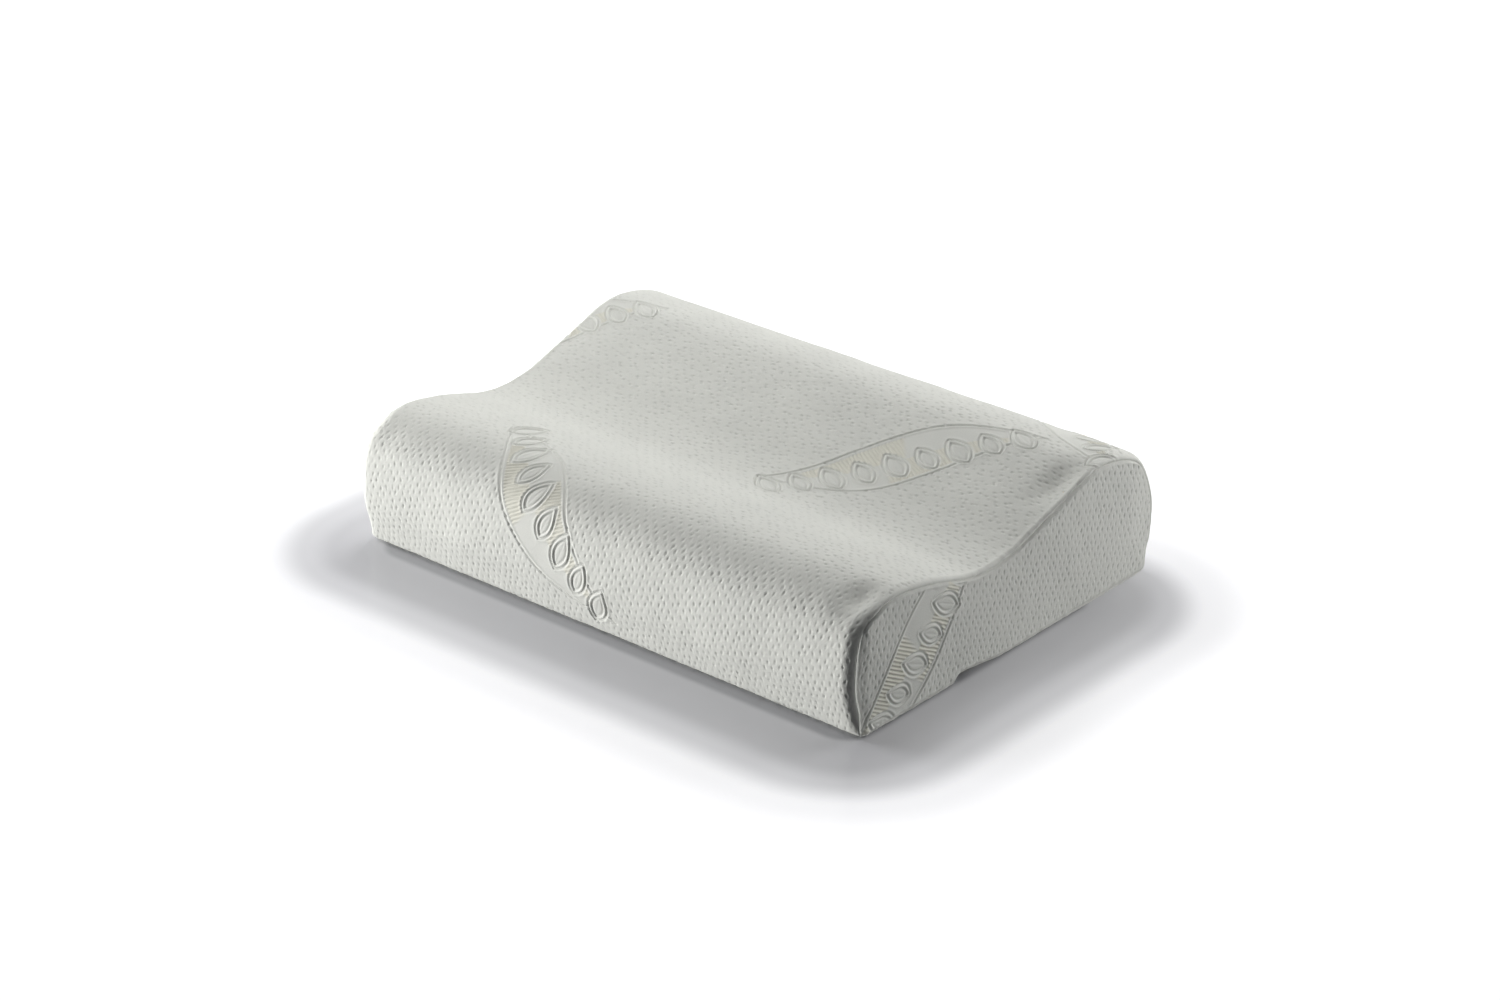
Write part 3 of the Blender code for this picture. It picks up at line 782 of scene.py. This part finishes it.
class EndGrid:
    """A grid over the end panel's outline, blended from its four sides."""

    def __init__(self):
        front, back = (lambda p: p[:, 0] < 0), (lambda p: p[:, 0] > 0)
        self.front_top = section.facing(-0.7, 0.7, front)
        self.back_top = section.facing(0.7, 0.7, back)
        self.back_foot = section.facing(0.7, -0.7, back)

    def point(self, u, v, inset=0.0):
        """(Y, Z) at shares u from front to back and v from bottom to top."""
        def along(a, b, share):
            return end_edge(a + (b - a) * share, inset)

        bottom, top = along(section.total, self.back_foot, u), along(self.front_top, self.back_top, u)
        front, back = along(0.0, self.front_top, v), along(self.back_foot, self.back_top, v)
        c00, c01, c10, c11 = (
            end_edge(np.array([s]), inset) for s in (0.0, self.front_top, self.back_foot, self.back_top)
        )
        u, v = u[:, None], v[:, None]
        sides = bottom * (1 - v) + top * v + front * (1 - u) + back * u
        return sides - (c00 * (1 - u) + c10 * u) * (1 - v) - (c01 * (1 - u) + c11 * u) * v


END_DOME, END_DOME_REACH = 0.0016, 0.045
LIP, LIP_FROM_EDGE, LIP_WIDTH = 0.0005, 0.0012, 0.0008


def end_motifs(side):
    def decorate(relief):
        if side > 0:
            relief.motif((-0.243, -0.032), turned=True)
        else:
            relief.motif((0.010, 0.150))
    return decorate


def end_panel(side, name, node, seed):
    grid = EndGrid()
    outline = end_edge(np.linspace(0, section.total, 400))
    length, tall = outline.max(0) - outline.min(0)
    rows, columns = whole_cells(length, CELL), whole_cells(tall, CELL)
    i, j = cell_corners(rows, columns)
    u, v = i / rows, j / columns
    flat = grid.point(u, v)
    y, z = flat.T
    others = np.minimum.reduce([(1 - u) * length, v * tall * 0.85, (1 - v) * tall * 0.85])
    edge = np.minimum(u * length, others)
    beside_front = smooth((others - u * length) / 0.012 + 0.5)
    rise = 0.0038 + 0.0140 * beside_front
    relief = knit(y, z, PITS_END, seed, end_motifs(side))
    settled = smooth((edge - 0.002) / 0.005)
    height = relief.height * settled
    height += (END_X - SEAM_X - 0.0006) * smooth(edge / rise) + END_DOME * smooth(edge / END_DOME_REACH)
    height += LIP * ridge(edge - LIP_FROM_EDGE, LIP_WIDTH) * (1 - beside_front)
    height += 0.00035 * cloud(y + z, y - z, 0.006, seed + 3) * ridge(edge - 0.003, 0.005)

    def placed(flat, out):
        points = np.column_stack([np.full(len(flat), 1.0) * side * (SEAM_X + out), flat])
        return lifted(points)

    def inner(i, j):
        return placed(grid.point(i / rows, j / columns), 0.0003)

    # the pit mark carries painted shade in the pits
    marks = {"pit_shade": relief.sunk * settled, "tint": relief.tint}
    panel = sewn_panel(name, rows, columns, placed(flat, height), inner, KNIT, flat, marks, flip=side < 0)
    keep(panel, "root", "cover_knit", node)


# --- Core and liner ---

def ring_body(name, depths, reach, look, capped):
    """Closed rings round the section at one depth, or two for a thin tube."""
    near_end = np.linspace(0.9, 1, 9)
    stations = np.concatenate([-near_end[::-1], np.linspace(-0.86, 0.86, 40), near_end])
    s = np.linspace(0, section.total, 320, endpoint=False)
    rings = []
    for k, depth in enumerate(depths):
        for share in stations if k == 0 else stations[::-1]:
            points = on_cover(s, np.full_like(s, share * HALF_CLOTH), 0.0, depth)
            points[:, 0] *= reach / SEAM_X
            rings.append(points)
    count, around = len(rings), len(s)
    last = count if not capped else count - 1
    faces = [
        (a * around + j, ((a + 1) % count) * around + j, ((a + 1) % count) * around + (j + 1) % around,
         a * around + (j + 1) % around)
        for a in range(last) for j in range(around)
    ]
    if capped:
        faces.append(tuple(range(around)))
        faces.append(tuple((count - 1) * around + j for j in range(around))[::-1])
    return add_mesh(name, np.vstack(rings), faces, look)


def core_and_liner():
    foam = ring_body("foam_block", [CORE_DEPTH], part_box("foam_core")[1].x, FOAM, capped=True)
    keep(foam, "root", "foam", "foam_core")
    depths, reach = [LINER_DEPTH, LINER_DEPTH + LINER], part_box("liner_tube")[1].x
    liner = ring_body("liner_sleeve", depths, reach, JERSEY, capped=False)
    keep(liner, "root", "liner", "liner_tube")
    grid = EndGrid()
    for side, word in ((-1, "left"), (1, "right")):
        low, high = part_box(f"liner_end_{word}")
        near, far = sorted((abs(low.x), abs(high.x)))
        rows, columns = 96, 32

        def flat(i, j):
            return grid.point(i / rows, j / columns, LINER_DEPTH)

        i, j = cell_corners(rows, columns)

        def at(x):
            def points(i, j):
                yz = flat(i, j)
                return lifted(np.column_stack([np.full(len(yz), side * x), yz]))
            return points

        name = f"liner_end_cloth_{word}"
        piece = sewn_panel(name, rows, columns, at(far)(i, j), at(near), JERSEY, flat(i, j), flip=side < 0)
        keep(piece, "root", "liner", f"liner_end_{word}")


# --- Seams ---

def cover_seams():
    pitch, length, radius = 0.0034, 0.0027, 0.00038
    for side, word in ((-1, "left"), (1, "right")):
        count = round(section.total / pitch)
        s = np.arange(count) * section.total / count
        step = 0.0004

        def seam(s):
            return lifted(np.column_stack([np.full(len(s), side * (SEAM_X - 0.0004)), end_edge(s)]))

        name, node = f"end_seam_stitches_{word}", f"seam_thread_{word}_end"
        stitches(name, node, seam(s), seam(s + step) - seam(s - step), (side, 0, 0), length, radius)
    t = np.arange(-HALF_CLOTH + 0.006, HALF_CLOTH - 0.005, pitch)
    for name, node, where, s in (
        ("front_seam_stitches", "seam_thread_front_base", np.abs(t) < 1, 0.0),
        ("back_seam_stitches_left", "seam_thread_back_left", t < -OPENING_CLOSED, section.zip),
        ("back_seam_stitches_right", "seam_thread_back_right", t > OPENING_CLOSED, section.zip),
    ):
        x = t[where]
        middles = on_cover(np.full_like(x, s), x, -0.0004)
        ahead = on_cover(np.full_like(x, s), x + 0.0004, -0.0004)
        out_y, out_z = (float(v) for v in section.at(np.array([s]))[2:])
        stitches(name, node, middles, ahead - middles, (0, out_y, out_z), length, radius)


# --- Zip ---

def back_wall(x, up, out):
    """A point on the back wall, this far above the zip's centre line and out of the cover's surface."""
    x, up, out = np.broadcast_arrays(x, up, out)
    return on_cover(section.zip - up.ravel(), x.ravel().astype(float), out.ravel())


def zip_tapes():
    for way, word in ((1, "upper"), (-1, "lower")):
        low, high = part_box(f"zipper_tape_{word}")
        width, thick = high.z - low.z, 0.0006
        rows, columns = 4 * 100, 4 * 4
        i, j = cell_corners(rows, columns)

        def at(depth, low=low, high=high, width=width, way=way):
            def points(i, j):
                x = low.x + (high.x - low.x) * i / rows
                up = way * (0.0002 + (width - 0.0002) * j / columns)
                ribs = 0.00006 * np.cos(math.pi * j)
                return back_wall(x, up, -depth + ribs)
            return points

        cloth = np.column_stack([i / rows * (high.x - low.x), j / columns * width])
        outer, inner = at(COVER + 0.0003)(i, j), at(COVER + 0.0003 + thick)
        piece = sewn_panel(f"zip_tape_{word}_woven", rows, columns, outer, inner, TAPE, cloth, flip=way > 0)
        keep(piece, "root", "zip_tape", f"zipper_tape_{word}")


def zip_coils():
    pitch, wire, steps = 0.00135, 0.00030, 14
    turns = int(2 * COIL_REACH / pitch) - 1
    for way, word in ((1, "upper"), (-1, "lower")):
        k = np.arange(turns * steps + 1) / steps
        angle = 2 * math.pi * k
        x = -COIL_REACH + wire + pitch * (k + (0.5 if way > 0 else 0.0))
        up = way * (0.00095 - 0.00135 * np.cos(angle))
        out = -0.00115 + 0.00066 * np.sin(angle)
        path = back_wall(x, up, out)
        piece = tube(f"zip_coil_{word}_turns", path, wire, NYLON)
        keep(piece, "root", "zip_nylon", f"zipper_coil_{word}")


def zip_stitching():
    pitch, length, radius = 0.0030, 0.0024, 0.00028
    for way, word in ((1, "upper"), (-1, "lower")):
        x = np.arange(-OPENING_STRAIGHT + 0.0015, OPENING_STRAIGHT - 0.001, pitch)
        middles = back_wall(x, way * (OPENING + STITCH_LINE), -0.00018)
        ahead = back_wall(x + 0.0004, way * (OPENING + STITCH_LINE), -0.00018)
        name, node = f"zip_topstitch_{word}_row", f"zipper_topstitch_{word}"
        stitches(name, node, middles, ahead - middles, (0, 1, 0), length, radius)
    for side, word in ((-1, "left"), (1, "right")):
        low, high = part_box(f"zipper_bar_tack_{word}")
        up = np.arange(low.z, high.z, 0.00045) - ZIP_Z
        x = np.full_like(up, (low.x + high.x) / 2)
        middles = back_wall(x, up, -0.0007)
        along = np.tile([0.0014, 0.0, 0.0004], (len(x), 1))
        name, node = f"zip_bar_tack_{word}_satin", f"zipper_bar_tack_{word}"
        stitches(name, node, middles, along, (0, 1, 0), 0.0024, 0.00030)


def moulded(name, outline, low, high, bevel, look, axis):
    """A flat outline drawn out between two levels along one axis, with rounded edges."""
    shape = bmesh.new()
    corners = [shape.verts.new(np.insert(np.array(p, float), axis, low)) for p in outline]
    face = shape.faces.new(corners)
    drawn = bmesh.ops.extrude_face_region(shape, geom=[face])
    moved = [v for v in drawn["geom"] if isinstance(v, bmesh.types.BMVert)]
    step = Vector(np.insert(np.zeros(2), axis, high - low))
    bmesh.ops.translate(shape, verts=moved, vec=step)
    bmesh.ops.recalc_face_normals(shape, faces=shape.faces)
    mesh = bpy.data.meshes.new(name)
    shape.to_mesh(mesh)
    shape.free()
    mesh.shade_smooth()
    mesh.set_sharp_from_angle(angle=math.radians(50))
    piece = placed_mesh(name, mesh, look)
    rounding = piece.modifiers.new("rounded", "BEVEL")
    rounding.width, rounding.segments, rounding.limit_method = bevel, 3, "ANGLE"
    return piece


def zip_slider():
    """The channel body over the coil, with the bail that holds the pull tab."""
    low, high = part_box("zipper_slider")
    middle = (low + high) / 2
    half, wide = (high.x - low.x) / 2, (high.z - low.z) / 2
    wall = low.y + COVER  # the cover's surface
    plate = [(-1.0, 0.55), (-0.55, 0.92), (0.1, 1.0), (0.75, 0.86), (1.0, 0.42)]
    outline = [(middle.x + half * a, middle.z + wide * b) for a, b in plate]
    outline += [(middle.x + half * a, middle.z - wide * b) for a, b in plate[::-1]]
    body = moulded("zip_slider_body", outline, wall - 0.0002, wall + 0.0011, 0.0004, LACQUER, 1)
    keep(body, "slider", "zip_lacquer", "zipper_slider")
    for way, word in ((1, "upper"), (-1, "lower")):
        edge = [middle.z + way * wide * 0.93, middle.z + way * (wide - 0.0015)]
        outline = [
            (middle.x - half * 0.7, edge[0]), (middle.x + half * 0.8, edge[0]),
            (middle.x + half * 0.9, edge[1]), (middle.x - half * 0.8, edge[1]),
        ]
        flange = moulded(f"zip_slider_flange_{word}", outline, low.y + 0.0001, wall, 0.0003, LACQUER, 1)
        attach(flange, "slider")
    foot, top = wall + 0.0009, high.y - 0.0005
    reach = 0.0019
    bow = 0.6 * reach
    turns = np.linspace(math.pi, 0, 13)
    arch = [(middle.x - reach, foot, middle.z)]
    arch += [(middle.x + reach * math.cos(a), top - bow + bow * math.sin(a), middle.z) for a in turns]
    arch += [(middle.x + reach, foot, middle.z)]
    bail = tube("zip_slider_bail", arch, 0.00052, LACQUER, sides=10)
    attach(bail, "slider")


def pull_tab():
    """A flat tab with a window at its pivot, which the bail passes through, a hole near its far end, and
    rounded edges.
    """
    low, high = TAB_LOW, TAB_HIGH
    middle_z, half = (low.z + high.z) / 2, (high.z - low.z) / 2
    axis_x = high.x - 0.0005
    tip = half * 0.94

    def rounded_end(x, radius, steps=14):
        return [
            (x + radius + radius * math.cos(a), middle_z + radius * math.sin(a))
            for a in np.linspace(math.pi / 2, 3 * math.pi / 2, steps)
        ]

    waist_x, waist = axis_x - 0.006, half * 0.80
    outer = [
        (axis_x, middle_z + half), (waist_x, middle_z + waist), *rounded_end(low.x, tip),
        (waist_x, middle_z - waist), (axis_x, middle_z - half),
    ]
    near, far, inside = axis_x - 0.0008, axis_x - 0.0050, 0.0015
    window = [
        (near, middle_z + inside), (far, middle_z + inside),
        (far, middle_z - inside), (near, middle_z - inside),
    ]
    hole_x, hole_end, hole_half = low.x + 0.0022, low.x + 0.0092, 0.0012
    hole = [*rounded_end(hole_x, 0.0014), (hole_end, middle_z - hole_half), (hole_end, middle_z + hole_half)]
    thick, bevel = high.y - low.y, 0.00022
    curve = bpy.data.curves.new("zip_pull_tab_plate", "CURVE")
    curve.dimensions = "2D"
    curve.fill_mode = "BOTH"
    for points in (outer, window, hole):
        spline = curve.splines.new("POLY")
        spline.points.add(len(points) - 1)
        for point, (x, z) in zip(spline.points, points):
            point.co = (x, z, 0, 1)
        spline.use_cyclic_u = True
    curve.bevel_depth, curve.bevel_resolution = bevel, 3
    curve.extrude = thick / 2 - bevel
    curve.offset = -bevel
    drawn = new_object("tab_drawing", curve)
    graph = bpy.context.evaluated_depsgraph_get()
    mesh = bpy.data.meshes.new_from_object(drawn.evaluated_get(graph))
    bpy.data.objects.remove(drawn)
    points = np.array([v.co for v in mesh.vertices])
    placed = np.column_stack([points[:, 0], (low.y + high.y) / 2 - points[:, 2], points[:, 1]])
    for vertex, co in zip(mesh.vertices, placed):
        vertex.co = co
    shape = bmesh.new()
    shape.from_mesh(mesh)
    bmesh.ops.remove_doubles(shape, verts=shape.verts, dist=1e-6)
    bmesh.ops.recalc_face_normals(shape, faces=shape.faces)
    shape.to_mesh(mesh)
    shape.free()
    mesh.materials.clear()
    mesh.shade_smooth()
    mesh.set_sharp_from_angle(angle=math.radians(40))
    piece = placed_mesh("zip_pull_tab_plate", mesh, LACQUER)
    keep(piece, "pull_tab", "zip_lacquer", "zipper_pull_tab")


def care_label():
    low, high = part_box("care_label")
    rows, columns = 32, 40
    i, j = cell_corners(rows, columns)
    length = high.z - low.z

    def at(out):
        def points(i, j):
            x = low.x + (high.x - low.x) * i / rows
            down = j / columns
            curl = 0.0008 * down**2 + 0.0002 * np.sin(5 * down + 3 * i / rows)
            return back_wall(x, high.z - ZIP_Z - length * down, out + curl)
        return points

    cloth = np.column_stack([i / rows * (high.x - low.x), j / columns * length])
    piece = sewn_panel("care_label_ribbon", rows, columns, at(0.0009)(i, j), at(0.0005), SATIN, cloth)
    keep(piece, "root", "label_satin", "care_label")


# --- Stage ---

CAMERA_AZIMUTH, CAMERA_ELEVATION = 40.5, 26.1
CAMERA_AT = (2.107, -2.475, 1.649)
LENS = 92.8
SOFTBOX, LIT = (0.8, 0.5), (0, 0, 0.06)  # a lamp's size, and the place that all of them face


def towards(azimuth, elevation):
    """The way from the object to something at this azimuth (0 is -Y, 90 is +X) and height, in degrees."""
    a, e = math.radians(azimuth), math.radians(elevation)
    return Vector((math.sin(a) * math.cos(e), -math.cos(a) * math.cos(e), math.sin(e)))


def set_up(data, place, azimuth, elevation):
    """A lamp or a camera that looks from this place back along this direction."""
    made = new_object(data.name, data)
    made.location = place
    made.rotation_mode = "QUATERNION"
    made.rotation_quaternion = (-towards(azimuth, elevation)).to_track_quat("-Z", "Y")
    return made


def softbox(name, azimuth, elevation, distance, power):
    light = bpy.data.lights.new(name, "AREA")
    light.shape = "RECTANGLE"
    light.size, light.size_y = SOFTBOX
    light.energy = power
    set_up(light, Vector(LIT) + towards(azimuth, elevation) * distance, azimuth, elevation)


# The table's own light grows away from this box, to these strengths at these distances; kept low beside the
# object, it is a painted shadow.
GLOW_CENTRE, GLOW_HALF = (0.008, -0.045, 0.0), (0.262, 0.150, 0.1)
GLOW_SPAN = 0.25
SHADOW_GLOW_RAMP = (0.026, 0.0), (0.035, 0.15), (0.075, 0.20), (0.105, 0.32), (0.145, 0.66), (0.200, 0.84)


def floor():
    """A pale gloss table that goes to plain white away from the object, with a painted shadow round the object
    from its glow.
    """
    # a dim base colour, so that the lamps add little and the glow sets the painted shadow
    look = Look("table", (0.40, 0.40, 0.425), 0.22, specular=0.30)
    place = look.place(False)
    steps = ("SUBTRACT", GLOW_CENTRE), ("ABSOLUTE", None), ("SUBTRACT", GLOW_HALF), ("MAXIMUM", (0, 0, 0))
    for operation, value in steps:
        step = look.node("ShaderNodeVectorMath", operation=operation)
        look.link(place, step.inputs[0])
        if value:
            step.inputs[1].default_value = value
        place = step.outputs["Vector"]
    span = look.node("ShaderNodeVectorMath", operation="LENGTH")
    look.link(place, span.inputs[0])
    glow = look.node("ShaderNodeValToRGB")
    look.link(look.ranged(span.outputs["Value"], 0.0, 1.0, 0.0, GLOW_SPAN), glow.inputs["Fac"])
    stops = glow.color_ramp
    stops.interpolation = "EASE"
    while len(stops.elements) < len(SHADOW_GLOW_RAMP):
        stops.elements.new(0.5)
    for stop, (distance, value) in zip(stops.elements, SHADOW_GLOW_RAMP):
        stop.position = distance / GLOW_SPAN
        stop.color = (value, value, value, 1)
    # painted shadow: the glow is nothing at the object's footprint and rises away from it
    look.link(glow.outputs["Color"], look.shader.inputs["Emission Strength"])
    look.shader.inputs["Emission Color"].default_value = (1, 1, 1, 1)
    half = 14.0
    points = [(-half, -half, 0), (half, -half, 0), (half, half, 0), (-half, half, 0)]
    table = add_mesh("table", points, [(0, 1, 2, 3)], look.material, smooth_faces=False)
    table.visible_shadow = False  # the low lights under the table stand for its bounce
    table.visible_diffuse = False


def world():
    """White where the camera looks, and a dim even light elsewhere."""
    made = bpy.data.worlds.new("studio")
    bpy.context.scene.world = made
    made.use_nodes = True
    nodes, links = made.node_tree.nodes, made.node_tree.links
    nodes.clear()
    seen, lit = nodes.new("ShaderNodeBackground"), nodes.new("ShaderNodeBackground")
    seen.inputs["Color"].default_value = (1, 1, 1, 1)
    seen.inputs["Strength"].default_value = 1.1
    lit.inputs["Color"].default_value = (0.86, 0.92, 1.0, 1)
    lit.inputs["Strength"].default_value = 0.035
    path, mix = nodes.new("ShaderNodeLightPath"), nodes.new("ShaderNodeMixShader")
    out = nodes.new("ShaderNodeOutputWorld")
    links.new(path.outputs["Is Camera Ray"], mix.inputs["Fac"])
    links.new(lit.outputs["Background"], mix.inputs[1])
    links.new(seen.outputs["Background"], mix.inputs[2])
    links.new(mix.outputs["Shader"], out.inputs["Surface"])


def camera():
    data = bpy.data.cameras.new("camera")
    data.lens, data.sensor_width = LENS, 36.0
    data.clip_start, data.clip_end = 0.05, 100.0
    bpy.context.scene.camera = set_up(data, CAMERA_AT, CAMERA_AZIMUTH, CAMERA_ELEVATION)


def stage():
    camera()
    floor()
    world()
    softbox("bounce_front_left", -55, -14, 4.5, 226)
    softbox("fill_front_right", 40, 6, 4.5, 8)
    softbox("key_front_left", -60, 40, 2.0, 19.4)
    softbox("back_left", -150, 60, 2.0, 12.9)
    softbox("right_back", 150, 20, 2.0, 15.6)
    softbox("rim_back", 170, 12, 2.0, 6.0)
    softbox("rim_left", -120, 12, 2.0, 5.2)
    softbox("bounce_right", 129, -10, 2.0, 10.8)
    bpy.context.scene.view_settings.view_transform = "Standard"


core_and_liner()
cover_long_panels()
end_panel(-1, "cover_end_knit_left", "cover_end_panel_left", 37)
end_panel(1, "cover_end_knit_right", "cover_end_panel_right", 53)
cover_seams()
zip_tapes()
zip_coils()
zip_stitching()
zip_slider()
pull_tab()
care_label()
stage()
